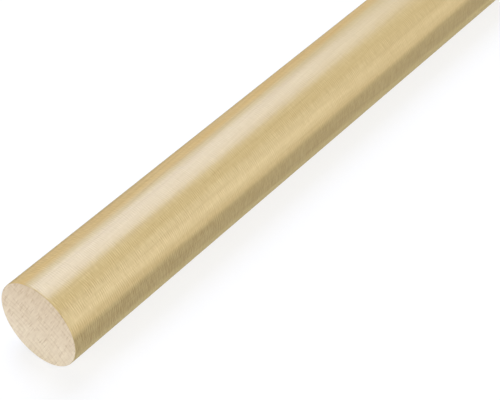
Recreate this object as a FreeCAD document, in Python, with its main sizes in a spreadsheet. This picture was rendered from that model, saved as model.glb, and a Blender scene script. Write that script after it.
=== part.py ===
# Round hardwood handrail, one straight length sawn square at both ends.
# The rail lies along X with its underside at Z = 0, and the origin is below its middle.

import FreeCAD, Part
import Sketcher
import os


# Driving dimensions in millimetres: name, value, what it is
SIZES = (
    ("rail_diameter", 42.0, "Finished diameter of the round section"),
    ("rail_length", 1500.0, "Length from one sawn end to the other"),
    ("arris_radius", 0.5, "Radius sanded onto the sharp edge of each sawn end"),
)

OUT_FOLDER = "parts"


def make_sizes(doc):
    """The sheet that holds every driving dimension, one row each."""
    sheet = doc.addObject("Spreadsheet::Sheet", "Sizes")
    for row, (alias, value, meaning) in enumerate(SIZES, start=1):
        sheet.set(f"A{row}", meaning)
        sheet.set(f"B{row}", str(value))
        sheet.setAlias(f"B{row}", alias)
    doc.recompute()
    return sheet


def origin_plane(body, role):
    """One of the body's own origin planes, found by its role."""
    return next(plane for plane in body.Origin.OriginFeatures if plane.Role == role)


def draw_section(body):
    """The round section, drawn across the rail on the plane of its middle."""
    section = body.newObject("Sketcher::SketchObject", "round_section")
    section.AttachmentSupport = [(origin_plane(body, "YZ_Plane"), "")]
    section.MapMode = "FlatFace"
    any_radius = 10.0
    centre = FreeCAD.Vector(0, 0, 0)
    normal = FreeCAD.Vector(0, 0, 1)
    circle = section.addGeometry(Part.Circle(centre, normal, any_radius), False)
    sketch_origin, circle_centre = (-1, 1), (circle, 3)
    section.addConstraint(Sketcher.Constraint("Coincident", *circle_centre, *sketch_origin))
    width = section.addConstraint(Sketcher.Constraint("Diameter", circle, 2 * any_radius))
    section.renameConstraint(width, "diameter")
    section.setExpression("Constraints.diameter", "Sizes.rail_diameter")
    return section


def saw_to_length(body, section):
    """The length of rail, half of it to each side of the section's plane."""
    length = body.newObject("PartDesign::Pad", "sawn_length")
    length.Profile = section
    length.SideType = "Symmetric"
    length.setExpression("Length", "Sizes.rail_length")
    return length


def end_edges(shape):
    """The names of the round edges, one at each sawn end."""
    return [
        f"Edge{number}"
        for number, edge in enumerate(shape.Edges, start=1)
        if isinstance(edge.Curve, Part.Circle)
    ]


def ease_ends(body, length):
    """The small radius sanded onto the edge of each sawn end."""
    arris = body.newObject("PartDesign::Fillet", "eased_ends")
    arris.Base = (length, end_edges(length.Shape))
    arris.setExpression("Radius", "Sizes.arris_radius")
    return arris


def make_handrail(doc):
    """The handrail, resting with the lowest line of its round section at Z = 0."""
    body = doc.addObject("PartDesign::Body", "handrail")
    body.Label = "handrail"
    section = draw_section(body)
    length = saw_to_length(body, section)
    doc.recompute()
    ease_ends(body, length)
    body.setExpression("Placement.Base.z", "Sizes.rail_diameter / 2")
    return body


def check(doc, pieces):
    """Stops before anything is written if a feature failed or a shape isn't sound."""
    for item in doc.Objects:
        if {"Invalid", "Error"} & set(item.State):
            raise RuntimeError(f"{item.Label} failed: {item.State}")
    for piece in pieces:
        shape = piece.Shape
        if shape.isNull() or not shape.isValid() or not shape.Solids:
            raise RuntimeError(f"{piece.Label} is not a sound solid")


def main():
    doc = FreeCAD.newDocument("Handrail")
    make_sizes(doc)
    pieces = [make_handrail(doc)]
    doc.recompute()
    check(doc, pieces)
    os.makedirs(OUT_FOLDER, exist_ok=True)
    for piece in pieces:
        piece.Shape.exportStep(os.path.join(OUT_FOLDER, f"{piece.Label}.step"))
        box = piece.Shape.optimalBoundingBox()
        print(piece.Label, f"{box.XLength:.1f} x {box.YLength:.1f} x {box.ZLength:.1f} mm")


main()
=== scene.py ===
import bpy
from math import atan2, cos, hypot, pi, radians, sin, tau
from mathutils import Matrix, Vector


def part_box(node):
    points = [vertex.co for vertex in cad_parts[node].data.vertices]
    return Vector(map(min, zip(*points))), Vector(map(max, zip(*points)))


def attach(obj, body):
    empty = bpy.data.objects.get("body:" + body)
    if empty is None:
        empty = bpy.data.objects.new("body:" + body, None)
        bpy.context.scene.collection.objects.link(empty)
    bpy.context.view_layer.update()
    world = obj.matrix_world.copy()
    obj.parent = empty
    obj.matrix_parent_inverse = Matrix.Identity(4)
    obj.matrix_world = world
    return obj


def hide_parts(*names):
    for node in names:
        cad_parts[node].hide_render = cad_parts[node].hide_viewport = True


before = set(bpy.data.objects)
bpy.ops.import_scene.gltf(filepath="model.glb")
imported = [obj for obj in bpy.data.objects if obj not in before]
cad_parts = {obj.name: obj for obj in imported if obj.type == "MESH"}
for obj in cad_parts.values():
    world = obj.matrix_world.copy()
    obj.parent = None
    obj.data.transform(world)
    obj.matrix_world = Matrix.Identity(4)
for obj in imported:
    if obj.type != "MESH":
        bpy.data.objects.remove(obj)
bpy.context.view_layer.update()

# The camera.
# A long lens looks down along the rail from beside its near sawn end, as the photograph does,
# and the rail runs out of the picture at the top right.
CAMERA_PLACE = (-1.0838, -0.3764, 0.5422)
CAMERA_LOOKS_DOWN = radians(42.320)
CAMERA_TURNED_RIGHT = radians(51.625)
CAMERA_LENS = 124.77
SENSOR_WIDTH = 36
SEES_FROM = 0.05

bpy.ops.object.select_all(action="DESELECT")
bpy.ops.object.camera_add(
    location=CAMERA_PLACE,
    rotation=(pi / 2 - CAMERA_LOOKS_DOWN, 0, -CAMERA_TURNED_RIGHT),
)
camera = bpy.context.object
camera.name = "camera"
camera.data.lens = CAMERA_LENS
camera.data.sensor_width = SENSOR_WIDTH
camera.data.clip_start = SEES_FROM
bpy.context.scene.camera = camera
bpy.context.scene.view_settings.view_transform = "Standard"

# The handrail, one straight length of round hard maple.
# It is moulded round between cutters, sanded on rollers that leave fine lines round it,
# sealed with a clear satin lacquer and then sawn square, so its ends are bare end grain.
RAIL_RADIUS = 0.021
ARRIS_RADIUS = 0.0005
ARRIS_STEPS = 4
RAIL_SIDES = 256
STATION_GAP = 0.025
EDGE_SUPPORT = 0.0002
WIDE_SUPPORT = 0.001
END_RINGS = (EDGE_SUPPORT, 0.004, 0.005, 0.005, 0.004)
SMOOTH_UP_TO = radians(40)

rail_low, rail_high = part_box("handrail")
rail_start, rail_end = rail_low[0], rail_high[0]
rail_length = rail_end - rail_start

bpy.ops.object.select_all(action="DESELECT")
bpy.ops.mesh.primitive_cylinder_add(
    vertices=RAIL_SIDES,
    radius=RAIL_RADIUS,
    depth=rail_length,
    end_fill_type="NGON",
    calc_uvs=False,
    location=((rail_start + rail_end) / 2, 0, RAIL_RADIUS),
    rotation=(0, pi / 2, 0),
)
rail = bpy.context.object
rail.name = rail.data.name = "maple_handrail"
bpy.ops.object.transform_apply(location=True, rotation=True, scale=True)


def cut_across(x):
    """A ring of edges round the rail at that place along it."""
    bpy.ops.mesh.select_all(action="SELECT")
    bpy.ops.mesh.bisect(plane_co=(x, 0, 0), plane_no=(1, 0, 0))


def select_faces(wanted):
    """Selects, in edit mode, only the faces for which wanted(face) is true."""
    bpy.ops.mesh.select_all(action="DESELECT")
    bpy.ops.object.mode_set(mode="OBJECT")
    for face in rail.data.polygons:
        face.select = wanted(face)
    bpy.ops.object.mode_set(mode="EDIT")


def at_the_end(face, end):
    """Whether a face lies on that sawn end."""
    return abs(face.center.x - end) < EDGE_SUPPORT


bpy.ops.object.mode_set(mode="EDIT")
bpy.ops.mesh.select_mode(type="FACE")
for end in (rail_start, rail_end):
    select_faces(lambda face: at_the_end(face, end))
    bpy.ops.mesh.region_to_loop()
    bpy.ops.mesh.bevel(offset=ARRIS_RADIUS, segments=ARRIS_STEPS, profile=0.5, affect="EDGES")
    bpy.ops.mesh.select_mode(type="FACE")
    select_faces(lambda face: len(face.vertices) > 4 and at_the_end(face, end))
    for width in END_RINGS:
        bpy.ops.mesh.inset(thickness=width)
    bpy.ops.mesh.merge(type="CENTER")
for number in range(1, round(rail_length / STATION_GAP)):
    cut_across(rail_start + number * STATION_GAP)
for support in (EDGE_SUPPORT, WIDE_SUPPORT):
    cut_across(rail_start + ARRIS_RADIUS + support)
    cut_across(rail_end - ARRIS_RADIUS - support)
bpy.ops.mesh.select_all(action="SELECT")
bpy.ops.mesh.normals_make_consistent(inside=False)
bpy.ops.object.mode_set(mode="OBJECT")
bpy.ops.object.shade_smooth_by_angle(angle=SMOOTH_UP_TO)

# The map that carries the finish: the round face is cut into three strips laid one above the other,
# slit along the underside, and the two ends are discs in the band that is left.
STRIPS = 3
MAP_MARGIN = 0.004
STRIP_HEIGHT = 0.255
END_DISC = 0.105
NEAR_DISC_COLUMN, FAR_DISC_COLUMN = 0.25, 0.75
END_DISC_ROW = 0.888
FACES_THE_END = 0.7

finish_map = rail.data.uv_layers.new(name="OFBake")
strip_length = rail_length / STRIPS


def turned_from_underside(place):
    """How far round the rail a place is, as a share of a full turn from the underside."""
    return (atan2(place.y, RAIL_RADIUS - place.z) % tau) / tau


def place_on_strip(place, face_middle):
    """Where a place on the round face lies on the map, on the strip that its face belongs to."""
    strip = min(STRIPS - 1, int((face_middle.x - rail_start) / strip_length))
    along = (place.x - rail_start) / strip_length - strip
    turned = turned_from_underside(place)
    turned += round(turned_from_underside(face_middle) - turned)
    strip_foot = strip * (STRIP_HEIGHT + MAP_MARGIN) + MAP_MARGIN
    return (
        MAP_MARGIN + along * (1 - 2 * MAP_MARGIN),
        strip_foot + turned * (STRIP_HEIGHT - MAP_MARGIN),
    )


def place_on_disc(place, face_middle):
    """Where a place on a sawn end lies on the map."""
    near = face_middle.x < 0
    from_end = place.x - rail_start if near else rail_end - place.x
    from_middle = hypot(place.y, place.z - RAIL_RADIUS)
    reach = END_DISC * (from_middle + from_end) / (RAIL_RADIUS + ARRIS_RADIUS)
    turn = atan2(place.z - RAIL_RADIUS, place.y)
    column = NEAR_DISC_COLUMN if near else FAR_DISC_COLUMN
    return column + reach * cos(turn), END_DISC_ROW + reach * sin(turn)


for face in rail.data.polygons:
    on_round_face = abs(face.normal.x) < FACES_THE_END
    face.material_index = 0 if on_round_face else 1
    lay_out = place_on_strip if on_round_face else place_on_disc
    for corner in face.loop_indices:
        vertex = rail.data.vertices[rail.data.loops[corner].vertex_index]
        finish_map.data[corner].uv = lay_out(vertex.co, face.center)


def add(tree, kind, label, feeds=None, **settings):
    """A node of that kind with its settings, its inputs set to values or linked to sockets."""
    made = tree.nodes.new(kind)
    made.label = label
    for name, value in settings.items():
        setattr(made, name, value)
    for socket, value in (feeds or {}).items():
        if isinstance(value, bpy.types.NodeSocket):
            tree.links.new(value, made.inputs[socket])
        else:
            made.inputs[socket].default_value = value
    return made


def reckon(tree, operation, label, *values):
    """A sum on values or sockets."""
    return add(tree, "ShaderNodeMath", label, dict(enumerate(values)), operation=operation).outputs[0]


def vector(tree, operation, label, *values):
    """A sum on vectors."""
    return add(tree, "ShaderNodeVectorMath", label, dict(enumerate(values)), operation=operation).outputs[0]


def dot(tree, label, place, direction):
    """How far a place lies in a direction."""
    feeds = {0: place, 1: direction}
    return add(tree, "ShaderNodeVectorMath", label, feeds, operation="DOT_PRODUCT").outputs["Value"]


def length_of(tree, label, arrow):
    """The length of a vector."""
    return add(tree, "ShaderNodeVectorMath", label, {0: arrow}, operation="LENGTH").outputs["Value"]


def split(tree, label, place):
    """A place's three measures: along the rail, across it, and up."""
    return add(tree, "ShaderNodeSeparateXYZ", label, {0: place}).outputs


def between(tree, label, value, low, high, to_low=0.0, to_high=1.0):
    """Runs smoothly from to_low to to_high as the value goes from low to high."""
    feeds = {"Value": value, "From Min": low, "From Max": high, "To Min": to_low, "To Max": to_high}
    return add(tree, "ShaderNodeMapRange", label, feeds, interpolation_type="SMOOTHSTEP").outputs[0]


def cloud(tree, label, place, scale, detail=2.0, roughness=0.5):
    """Noise whose lumps are scale[i] to the metre along each axis."""
    stretched = vector(tree, "MULTIPLY", label + " place", place, scale)
    feeds = {"Vector": stretched, "Scale": 1.0, "Detail": detail, "Roughness": roughness}
    return add(tree, "ShaderNodeTexNoise", label, feeds).outputs["Fac"]


def drift(tree, label, place, scale):
    """Slow noise in three values that carries a place aside."""
    feeds = {"Vector": place, "Scale": scale, "Detail": 1.0}
    return add(tree, "ShaderNodeTexNoise", label, feeds).outputs["Color"]


def tint(tree, label, share, below, above, blend="MIX"):
    """One colour over another by a share from 0 to 1."""
    feeds = {0: share, 6: below, 7: above}
    return add(tree, "ShaderNodeMix", label, feeds, data_type="RGBA", blend_type=blend).outputs[2]


# Light and dark of the growth, worked out from where each point of the rail lay in the log.
# The grain runs a little askew to the rail, so the place in the log shifts along the rail.
# The three numbers of a pattern, here and in both finishes, are its lumps to the metre:
# along the rail, and in the two directions across it.
PITH_DEPTH = 0.12
RING_WIDTH = 0.003
TO_THE_BARK = (0, -0.515, 0.857)
ALONG_THE_RING = (0, 0.857, 0.515)
SQUARE_AT_NEAR_END = -0.0285
GRAIN_SLOPE = (0, -0.0547, 0.0173)
BENDS = (4.0, 9.0, 9.0)
WANDER = (0, 0.012, 0.012)
WANDER_START = (0, -0.006, -0.006 - RAIL_RADIUS)
UNEVEN_YEARS = (5.0, 90.0, 90.0)
AUTUMN_STARTS, AUTUMN_PEAK, YEAR_ENDS = 0.45, 0.82, 1.0
TONE_CHANGES_EARLY = 0.1
FIBRES = (18.0, 1100.0, 1100.0)
FIGURE = (9.0, 260.0, 260.0)
RAYS = (300.0, 110.0, 900.0)
FINE_RAYS = (300.0, 100.0, 1900.0)

growth = bpy.data.node_groups.new("maple_growth", "ShaderNodeTree")
growth.interface.new_socket("Place", in_out="INPUT", socket_type="NodeSocketVector")
for output in ("Late Wood", "Year Tone", "Fibre", "Figure", "Ray", "Fine Ray"):
    growth.interface.new_socket(output, in_out="OUTPUT", socket_type="NodeSocketFloat")
given = add(growth, "NodeGroupInput", "point on the rail")
result = add(growth, "NodeGroupOutput", "growth")
place = given.outputs["Place"]
along = split(growth, "along the rail", place)[0]
shift = vector(growth, "MULTIPLY_ADD", "sloping grain", along, GRAIN_SLOPE, place)
shift = vector(growth, "ADD", "sloping and bent", shift, WANDER_START)
bends = vector(growth, "MULTIPLY", "bends place", place, BENDS)
bends = drift(growth, "bends of the grain", bends, 1.0)
in_log = vector(growth, "MULTIPLY_ADD", "place in the log", bends, WANDER, shift)
depth = dot(growth, "towards the bark", in_log, TO_THE_BARK)
from_pith = reckon(growth, "ADD", "from the pith", depth, PITH_DEPTH)
across = dot(growth, "along the ring", in_log, ALONG_THE_RING)
across = reckon(growth, "ADD", "rings square to rays", across, SQUARE_AT_NEAR_END)
feeds = {0: along, 1: from_pith, 2: across}
turned = add(growth, "ShaderNodeCombineXYZ", "seen from the pith", feeds).outputs[0]
flat = vector(growth, "MULTIPLY", "across the log", turned, (0, 1, 1))
distance = length_of(growth, "distance", flat)
uneven = cloud(growth, "uneven years", place, UNEVEN_YEARS)
year = reckon(growth, "DIVIDE", "year", distance, RING_WIDTH)
year = reckon(growth, "ADD", "year, uneven", uneven, year)
season = reckon(growth, "FRACT", "season", year)
autumn = between(growth, "autumn", season, AUTUMN_STARTS, AUTUMN_PEAK)
winter = between(growth, "winter", season, AUTUMN_PEAK, YEAR_ENDS, 1.0, 0.0)
late = reckon(growth, "MULTIPLY", "late wood", autumn, winter)
number = reckon(growth, "ADD", "just before the year's end", year, TONE_CHANGES_EARLY)
number = reckon(growth, "FLOOR", "number of the year", number)
tone = add(growth, "ShaderNodeTexWhiteNoise", "tone of the year", {"W": number}, noise_dimensions="1D")
fibre = cloud(growth, "fibres", in_log, FIBRES, roughness=0.6)
figure = cloud(growth, "figure", in_log, FIGURE, detail=3.0, roughness=0.55)
ray = cloud(growth, "rays", turned, RAYS, roughness=0.6)
fine_ray = cloud(growth, "fine rays", turned, FINE_RAYS, detail=1.0)
growth.links.new(late, result.inputs["Late Wood"])
growth.links.new(tone.outputs["Value"], result.inputs["Year Tone"])
growth.links.new(fibre, result.inputs["Fibre"])
growth.links.new(figure, result.inputs["Figure"])
growth.links.new(ray, result.inputs["Ray"])
growth.links.new(fine_ray, result.inputs["Fine Ray"])


def start_finish(name):
    """A material for the rail: its tree, shader, the place of each point, and the growth there."""
    material = bpy.data.materials.new(name)
    material.use_nodes = True
    tree = material.node_tree
    tree.nodes.clear()
    shader = add(tree, "ShaderNodeBsdfPrincipled", "finish")
    add(tree, "ShaderNodeOutputMaterial", "output", {0: shader.outputs[0]})
    place = add(tree, "ShaderNodeTexCoord", "place on the rail").outputs["Object"]
    grown = add(tree, "ShaderNodeGroup", "growth of the wood", node_tree=growth)
    tree.links.new(place, grown.inputs["Place"])
    rail.data.materials.append(material)
    return tree, shader, place, grown.outputs


def weigh(tree, label, start, *weighted):
    """start, and each pattern's distance from its middle by its weight."""
    total = start
    for pattern, weight, middle in weighted:
        share = reckon(tree, "MULTIPLY_ADD", label, pattern, weight, -weight * middle)
        total = reckon(tree, "ADD", label, share, total)
    return total


def put_on(tree, shader, colour, relief_from, relief_label, relief_depth):
    """Gives the shader its colour, and a relief of that depth in metres."""
    tree.links.new(colour, shader.inputs["Base Color"])
    feeds = {"Height": relief_from, "Strength": 1.0, "Distance": relief_depth}
    relief = add(tree, "ShaderNodeBump", relief_label, feeds)
    tree.links.new(relief.outputs[0], shader.inputs["Normal"])


# The round face: pale gold maple under a satin lacquer.
# Long patchy streaks run along it and turn slowly with the spiral of the grain. The warm streak is a warmer
# tint of the wood and the under streak tints the underside a little greener. The painted highlight streak
# paints a lighter, creamier second highlight on the -Y flank, the painted shade streak paints shade below
# it, and the painted back-limb shade dims the +Y limb.
# Each has its middle, counted in degrees from the top towards -Y, the half widths of its core and of the
# whole, its full strength, the share of that left between its patches, and the tint that it multiplies by.
FACE_DARK = (0.455, 0.311, 0.106, 1)
FACE_PALE = (0.655, 0.501, 0.226, 1)
STREAKS = {
    "warm streak": (-28, 3, 19, 0.9, 0.65, (1.08, 0.91, 0.61, 1)),
    # painted highlight: a lighter, creamier band where the second highlight shows
    "painted highlight streak": (64, 0, 14, 1.0, 0.8, (1.16, 1.19, 1.30, 1)),
    # painted shade: a darker band along the lower flank where the core shadow falls
    "painted shade streak": (89, 6, 18.5, 0.98, 0.96, (0.77, 0.785, 0.79, 1)),
    # painted shade: darkens the +Y limb, where the lacquer reflects the white floor
    "painted back-limb shade": (-48, 3, 17, 1.0, 0.7, (0.76, 0.74, 0.60, 1)),
    "under streak": (118, 6, 20, 1.0, 0.96, (0.97, 1.045, 1.06, 1)),
}
PATCHES = (20.0, 160.0, 160.0)
PATCH_EDGE = (0.3, 0.6)
STREAK_WANDER = 0.0025
STREAK_BENDS = 7.0
SPIRAL_GRAIN = 0.38

tree, shader, place, grown = start_finish("lacquered_maple")
patches = cloud(tree, "patches", place, PATCHES)
patches = between(tree, "patchiness", patches, *PATCH_EDGE)
wander = drift(tree, "wandering", place, STREAK_BENDS)
axis = (0, STREAK_WANDER / 2, RAIL_RADIUS + STREAK_WANDER / 2)
from_axis = vector(tree, "SUBTRACT", "from the axis", place, axis)
from_axis = vector(tree, "MULTIPLY_ADD", "wandering", wander, (0, STREAK_WANDER, STREAK_WANDER), from_axis)
outwards = vector(tree, "MULTIPLY", "across", from_axis, (0, 1, 1))
facing = vector(tree, "NORMALIZE", "which way it faces", outwards)
along, _, up = split(tree, "along and up", place)
spiral = reckon(tree, "MULTIPLY_ADD", "spiral grain", along, SPIRAL_GRAIN, -SPIRAL_GRAIN * rail_start)
feeds = {"Vector": facing, "Angle": spiral}
with_grain = add(tree, "ShaderNodeVectorRotate", "turned with the grain", feeds, rotation_type="X_AXIS")
facing = with_grain.outputs[0]


def share_of_streak(name):
    """How much of that streak shows at each point."""
    middle, core, half_width, most, least, _ = STREAKS[name]
    nearness = dot(tree, name, facing, (0, -sin(radians(middle)), cos(radians(middle))))
    edges = cos(radians(half_width)), cos(radians(core))
    inside = between(tree, name + ", inside", nearness, *edges, 0.0, most)
    patchy = reckon(tree, "MULTIPLY_ADD", name + ", patches", patches, 1 - least, least)
    return reckon(tree, "MULTIPLY", name + ", patchy", inside, patchy)


streak_shares = {name: share_of_streak(name) for name in STREAKS}

# What sanding left: short fine marks and broken rings round the rail, fainter at the very top,
# deeper near the ends, calmer on the painted highlight streak and rougher on the warm streak and the
# painted shade streak
MARKS = (2500.0, 260.0, 260.0)
RING_GAP = 0.00105
RING_WOBBLE = 20.0
RING_WOBBLES = (45.0, 70.0, 70.0)
RING_BREAKS = (200.0, 330.0, 330.0)
RING_SHOWS = (0.42, 0.60)
RING_STRENGTH = 0.38
TOP_STARTS, TOP_REACHED, TOP_STRENGTH = 1.8 * RAIL_RADIUS, 1.98 * RAIL_RADIUS, 0.5
END_ZONE, END_STRENGTH = 0.15, 1.6
MARKS_ON_PAINTED_HIGHLIGHT = 0.65
DARK_STREAKS_ADD = 0.25
MARK_RELIEF = 0.000002

marks = cloud(tree, "sanding marks", place, MARKS, detail=0.0)
wobble = cloud(tree, "wobble of the rings", place, RING_WOBBLES, detail=1.0)
turns = reckon(tree, "MULTIPLY", "rings along the rail", along, tau / RING_GAP)
turns = reckon(tree, "MULTIPLY_ADD", "wobbly", wobble, RING_WOBBLE, turns)
rings = reckon(tree, "SINE", "sanding rings", turns)
breaks = cloud(tree, "breaks in the rings", place, RING_BREAKS, detail=1.0)
breaks = between(tree, "where rings show", breaks, *RING_SHOWS)
rings = reckon(tree, "MULTIPLY", "broken rings", rings, breaks)
mark = reckon(tree, "SUBTRACT", "mark", marks, 0.5)
mark = reckon(tree, "MULTIPLY_ADD", "marks and rings", rings, RING_STRENGTH, mark)
fainter = between(tree, "fainter at the top", up, TOP_STARTS, TOP_REACHED, 1.0, TOP_STRENGTH)
off_middle = reckon(tree, "ABSOLUTE", "off the middle", along)
deeper = between(tree, "deeper near the ends", off_middle, rail_end - END_ZONE, rail_end, 1.0, END_STRENGTH)
light = streak_shares["painted highlight streak"]
calmer = between(tree, "calmer on the painted highlight streak", light, 0.0, 1.0, 1.0, MARKS_ON_PAINTED_HIGHLIGHT)
dark = reckon(tree, "ADD", "warm streak and painted shade", streak_shares["painted shade streak"], streak_shares["warm streak"])
rougher = reckon(tree, "MULTIPLY_ADD", "rougher on the warm streak and painted shade", dark, DARK_STREAKS_ADD, 1.0)
for strength in (fainter, deeper, calmer, rougher):
    mark = reckon(tree, "MULTIPLY", "marks that show", mark, strength)

# The face's colour: each pattern lightens the wood by its weight, from its own middle value
BANDS = (350.0, 60.0, 60.0)
MOTTLE = (24.0, 90.0, 90.0)
YEAR_PLACES = (9.0, 45.0, 45.0)
YEARS_SHOW = (0.42, 0.62)
FLAT_ZONE = 0.515 * RAIL_RADIUS
FLANK_EDGE = (0.006, 0.014)
DARK_THREADS = (8.0, 620.0, 620.0)
THREAD_EDGE = (0.60, 0.72)
UNDER_LACQUER_ROUGHNESS = 0.5
LACQUER_SHEEN = 0.3
LACQUER_ROUGHNESS = 0.3
LACQUER_IOR = 2.2

bands = cloud(tree, "sanding bands", place, BANDS, roughness=0.6)
mottle = cloud(tree, "mottle", place, MOTTLE, detail=1.0)
shows = cloud(tree, "where years show", place, YEAR_PLACES, detail=1.0)
shows = between(tree, "years show", shows, *YEARS_SHOW)
flank = dot(tree, "round the rail", place, ALONG_THE_RING)
flank = reckon(tree, "SUBTRACT", "off the flat zone", flank, FLAT_ZONE)
flank = reckon(tree, "ABSOLUTE", "either way", flank)
flank = between(tree, "flank", flank, *FLANK_EDGE)
late = reckon(tree, "MULTIPLY", "late wood on the flanks", grown["Late Wood"], flank)
late = reckon(tree, "MULTIPLY", "late wood that shows", late, shows)
threads = cloud(tree, "threads", place, DARK_THREADS)
threads = between(tree, "dark threads", threads, *THREAD_EDGE)
tone = weigh(
    tree, "tone", 0.5,
    (grown["Fibre"], 0.46, 0.5),
    (grown["Figure"], 0.18, 0.5),
    (grown["Year Tone"], 0.04, 0.5),
    (late, -0.14, 0.05),
    (threads, -0.14, 0.05),
    (grown["Ray"], 0.08, 0.5),
    (mark, 0.58, 0.0),
    (bands, 0.03, 0.5),
    (mottle, 0.19, 0.5),
)
colour = tint(tree, "wood", tone, FACE_DARK, FACE_PALE)
for name, share in streak_shares.items():
    colour = tint(tree, name, share, colour, STREAKS[name][-1], "MULTIPLY")
put_on(tree, shader, colour, marks, "sanding relief", MARK_RELIEF)
shader.inputs["Roughness"].default_value = UNDER_LACQUER_ROUGHNESS
shader.inputs["Specular IOR Level"].default_value = 0.0
shader.inputs["Coat Weight"].default_value = LACQUER_SHEEN
shader.inputs["Coat Roughness"].default_value = LACQUER_ROUGHNESS
shader.inputs["Coat IOR"].default_value = LACQUER_IOR

# The sawn ends: bare end grain, paler and pinker than the face, with painted shade that makes them a little
# darker upwards.
# Its rays are short dark lines, and both they and its years are clear only in places.
END_DARK = (0.594, 0.458, 0.302, 1)
END_PALE = (0.851, 0.736, 0.552, 1)
BLOTCHES = (700.0, 700.0, 700.0)
CRISP_PLACES = (200.0, 200.0, 200.0)
CRISP_EDGE = (0.45, 0.6)
BRIGHTEST_RAY = 0.03
CLEAR_PLACES = (230.0, 230.0, 230.0)
CLEAR_EDGE = (0.42, 0.60)
PAINTED_SHADE_UPWARDS = -17.0
OPEN_GRAIN_RELIEF = 0.00003
END_ROUGHNESS = 0.8
END_SHINE = 0.2

tree, shader, place, grown = start_finish("sawn_end_grain")
blotch = cloud(tree, "blotches", place, BLOTCHES)
crisp = cloud(tree, "where rays are crisp", place, CRISP_PLACES, detail=1.0)
crisp = between(tree, "crisp", crisp, *CRISP_EDGE)
fine = reckon(tree, "SUBTRACT", "fine ray", grown["Fine Ray"], 0.5)
fine = reckon(tree, "MINIMUM", "dark rays only", fine, BRIGHTEST_RAY)
fine = reckon(tree, "MULTIPLY", "fine ray, crisp", fine, crisp)
clear = cloud(tree, "where years are clear", place, CLEAR_PLACES, detail=1.0)
clear = between(tree, "clear years", clear, *CLEAR_EDGE)
late = reckon(tree, "MULTIPLY", "late wood in places", grown["Late Wood"], clear)
up = split(tree, "height", place)[2]
tone = weigh(
    tree, "tone", 0.5,
    (grown["Ray"], 0.85, 0.5),
    (fine, 2.2, -0.01),
    (late, -0.26, 0.06),
    (grown["Year Tone"], 0.08, 0.5),
    (blotch, 0.20, 0.5),
    # painted shade: the end grain grows darker towards its top
    (up, PAINTED_SHADE_UPWARDS, RAIL_RADIUS),
)
colour = tint(tree, "wood", tone, END_DARK, END_PALE)
put_on(tree, shader, colour, grown["Ray"], "open grain", OPEN_GRAIN_RELIEF)
shader.inputs["Roughness"].default_value = END_ROUGHNESS
shader.inputs["Specular IOR Level"].default_value = END_SHINE

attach(rail, "root")
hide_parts("handrail")

# The floor, plain and pale.
# The camera and the lacquer see it white, and it keeps the rail's soft shadow.
FLOOR_SIZE = 60
FLOOR_COLOUR = (0.65, 0.65, 0.65, 1)
SEEN_COLOUR = (0.22, 0.22, 0.22, 1)
WHITE = (1, 1, 1, 1)
NEAR_GLOW, FAR_GLOW = 0.80, 1.0
NEAR, FAR = 1.2, 2.5

bpy.ops.object.select_all(action="DESELECT")
bpy.ops.mesh.primitive_plane_add(size=FLOOR_SIZE, location=(0, 0, 0))
floor = bpy.context.object
floor.name = "floor"


def who_sees_white(tree):
    """1 for rays of the camera, of gloss and of glass, which find it white, and 0 for other rays."""
    path = add(tree, "ShaderNodeLightPath", "who looks").outputs
    looks = reckon(tree, "MAXIMUM", "camera or lacquer", path["Is Camera Ray"], path["Is Glossy Ray"])
    return reckon(tree, "MAXIMUM", "or glass", looks, path["Is Transmission Ray"])


paper = bpy.data.materials.new("white_paper")
paper.use_nodes = True
tree = paper.node_tree
tree.nodes.clear()
lit = add(tree, "ShaderNodeBsdfDiffuse", "as lit", {"Color": FLOOR_COLOUR})
shaded = add(tree, "ShaderNodeBsdfDiffuse", "shadow", {"Color": SEEN_COLOUR})
on_floor = add(tree, "ShaderNodeTexCoord", "place on the floor").outputs["Object"]
far_off = length_of(tree, "from the middle", on_floor)
white = between(tree, "whiter far off", far_off, NEAR, FAR, NEAR_GLOW, FAR_GLOW)
glow = add(tree, "ShaderNodeEmission", "white", {"Color": WHITE, "Strength": white})
seen = add(tree, "ShaderNodeAddShader", "white with a shadow", {0: shaded.outputs[0], 1: glow.outputs[0]})
feeds = {0: who_sees_white(tree), 1: lit.outputs[0], 2: seen.outputs[0]}
mixed = add(tree, "ShaderNodeMixShader", "white to the camera", feeds)
add(tree, "ShaderNodeOutputMaterial", "output", {0: mixed.outputs[0]})
floor.data.materials.append(paper)

# The room light.
# It is an even fill from all round, and the camera and the lacquer see it as white.
ROOM_FILL = 0.05

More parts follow.
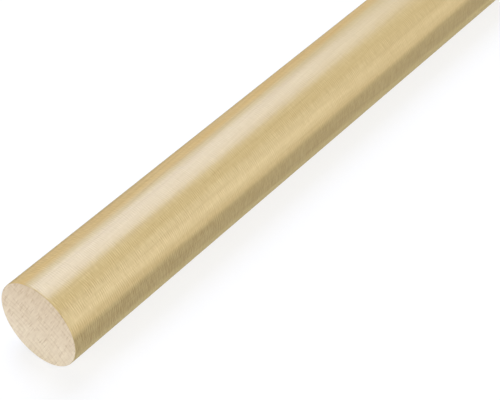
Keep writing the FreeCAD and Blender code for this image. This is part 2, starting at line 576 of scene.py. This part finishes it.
room = bpy.data.worlds.new("studio")
bpy.context.scene.world = room
room.use_nodes = True
tree = room.node_tree
tree.nodes.clear()
strength = reckon(tree, "MULTIPLY_ADD", "white or fill", who_sees_white(tree), 1 - ROOM_FILL, ROOM_FILL)
sky = add(tree, "ShaderNodeBackground", "room", {"Color": WHITE, "Strength": strength})
add(tree, "ShaderNodeOutputWorld", "output", {0: sky.outputs[0]})

# The lamps, soft boxes round the rail.
# Three far off to the two sides light it and show as the two long highlights, a long one hangs
# over it as a fill, and one stands before each sawn end.
FILL_COLOUR = (1, 1, 1)
COOL = (0.89, 1.0, 1.36)
WARM = (1.05, 1.0, 0.86)
NEAR_PART = -0.6


def soft_box(name, aim, turned, leaning, distance, width, length, radiance, colour):
    """A soft box aimed at that place along the rail, turned from straight up towards -Y, leaning to +X."""
    bpy.ops.object.select_all(action="DESELECT")
    turned, leaning = radians(turned), radians(leaning)
    place = (
        aim + distance * sin(leaning),
        -distance * cos(leaning) * sin(turned),
        RAIL_RADIUS + distance * cos(leaning) * cos(turned),
    )
    bpy.ops.object.light_add(type="AREA", location=place)
    lamp = bpy.context.object
    lamp.name = lamp.data.name = name
    lamp.rotation_mode = "YXZ"
    lamp.rotation_euler = (turned, leaning, 0)
    lamp.data.shape = "RECTANGLE"
    lamp.data.size = length
    lamp.data.size_y = width
    lamp.data.energy = radiance * pi * length * width
    lamp.data.color = colour
    lamp.visible_camera = False


# Name, aim, turn and lean in degrees, distance, width, length, radiance, colour
soft_box("back_soft_box", NEAR_PART, -24, 23.5, 4.0, 3.45, 2.8, 4.5, COOL)
soft_box("wide_soft_box", NEAR_PART, -32, 23.5, 4.0, 5.66, 2.8, 0.83, COOL)
soft_box("side_soft_box", NEAR_PART, 68, 24, 4.0, 3.00, 2.8, 3.25, WARM)
soft_box("overhead_strip", 0.0, 32, 0, 1.5, 1.2, 4.0, 0.2, FILL_COLOUR)
soft_box("near_end_soft_box", rail_start, 0, -75, 1.35, 1.2, 0.6, 6.2, FILL_COLOUR)
soft_box("far_end_soft_box", rail_end, 0, 75, 1.35, 1.2, 0.6, 3.0, WARM)
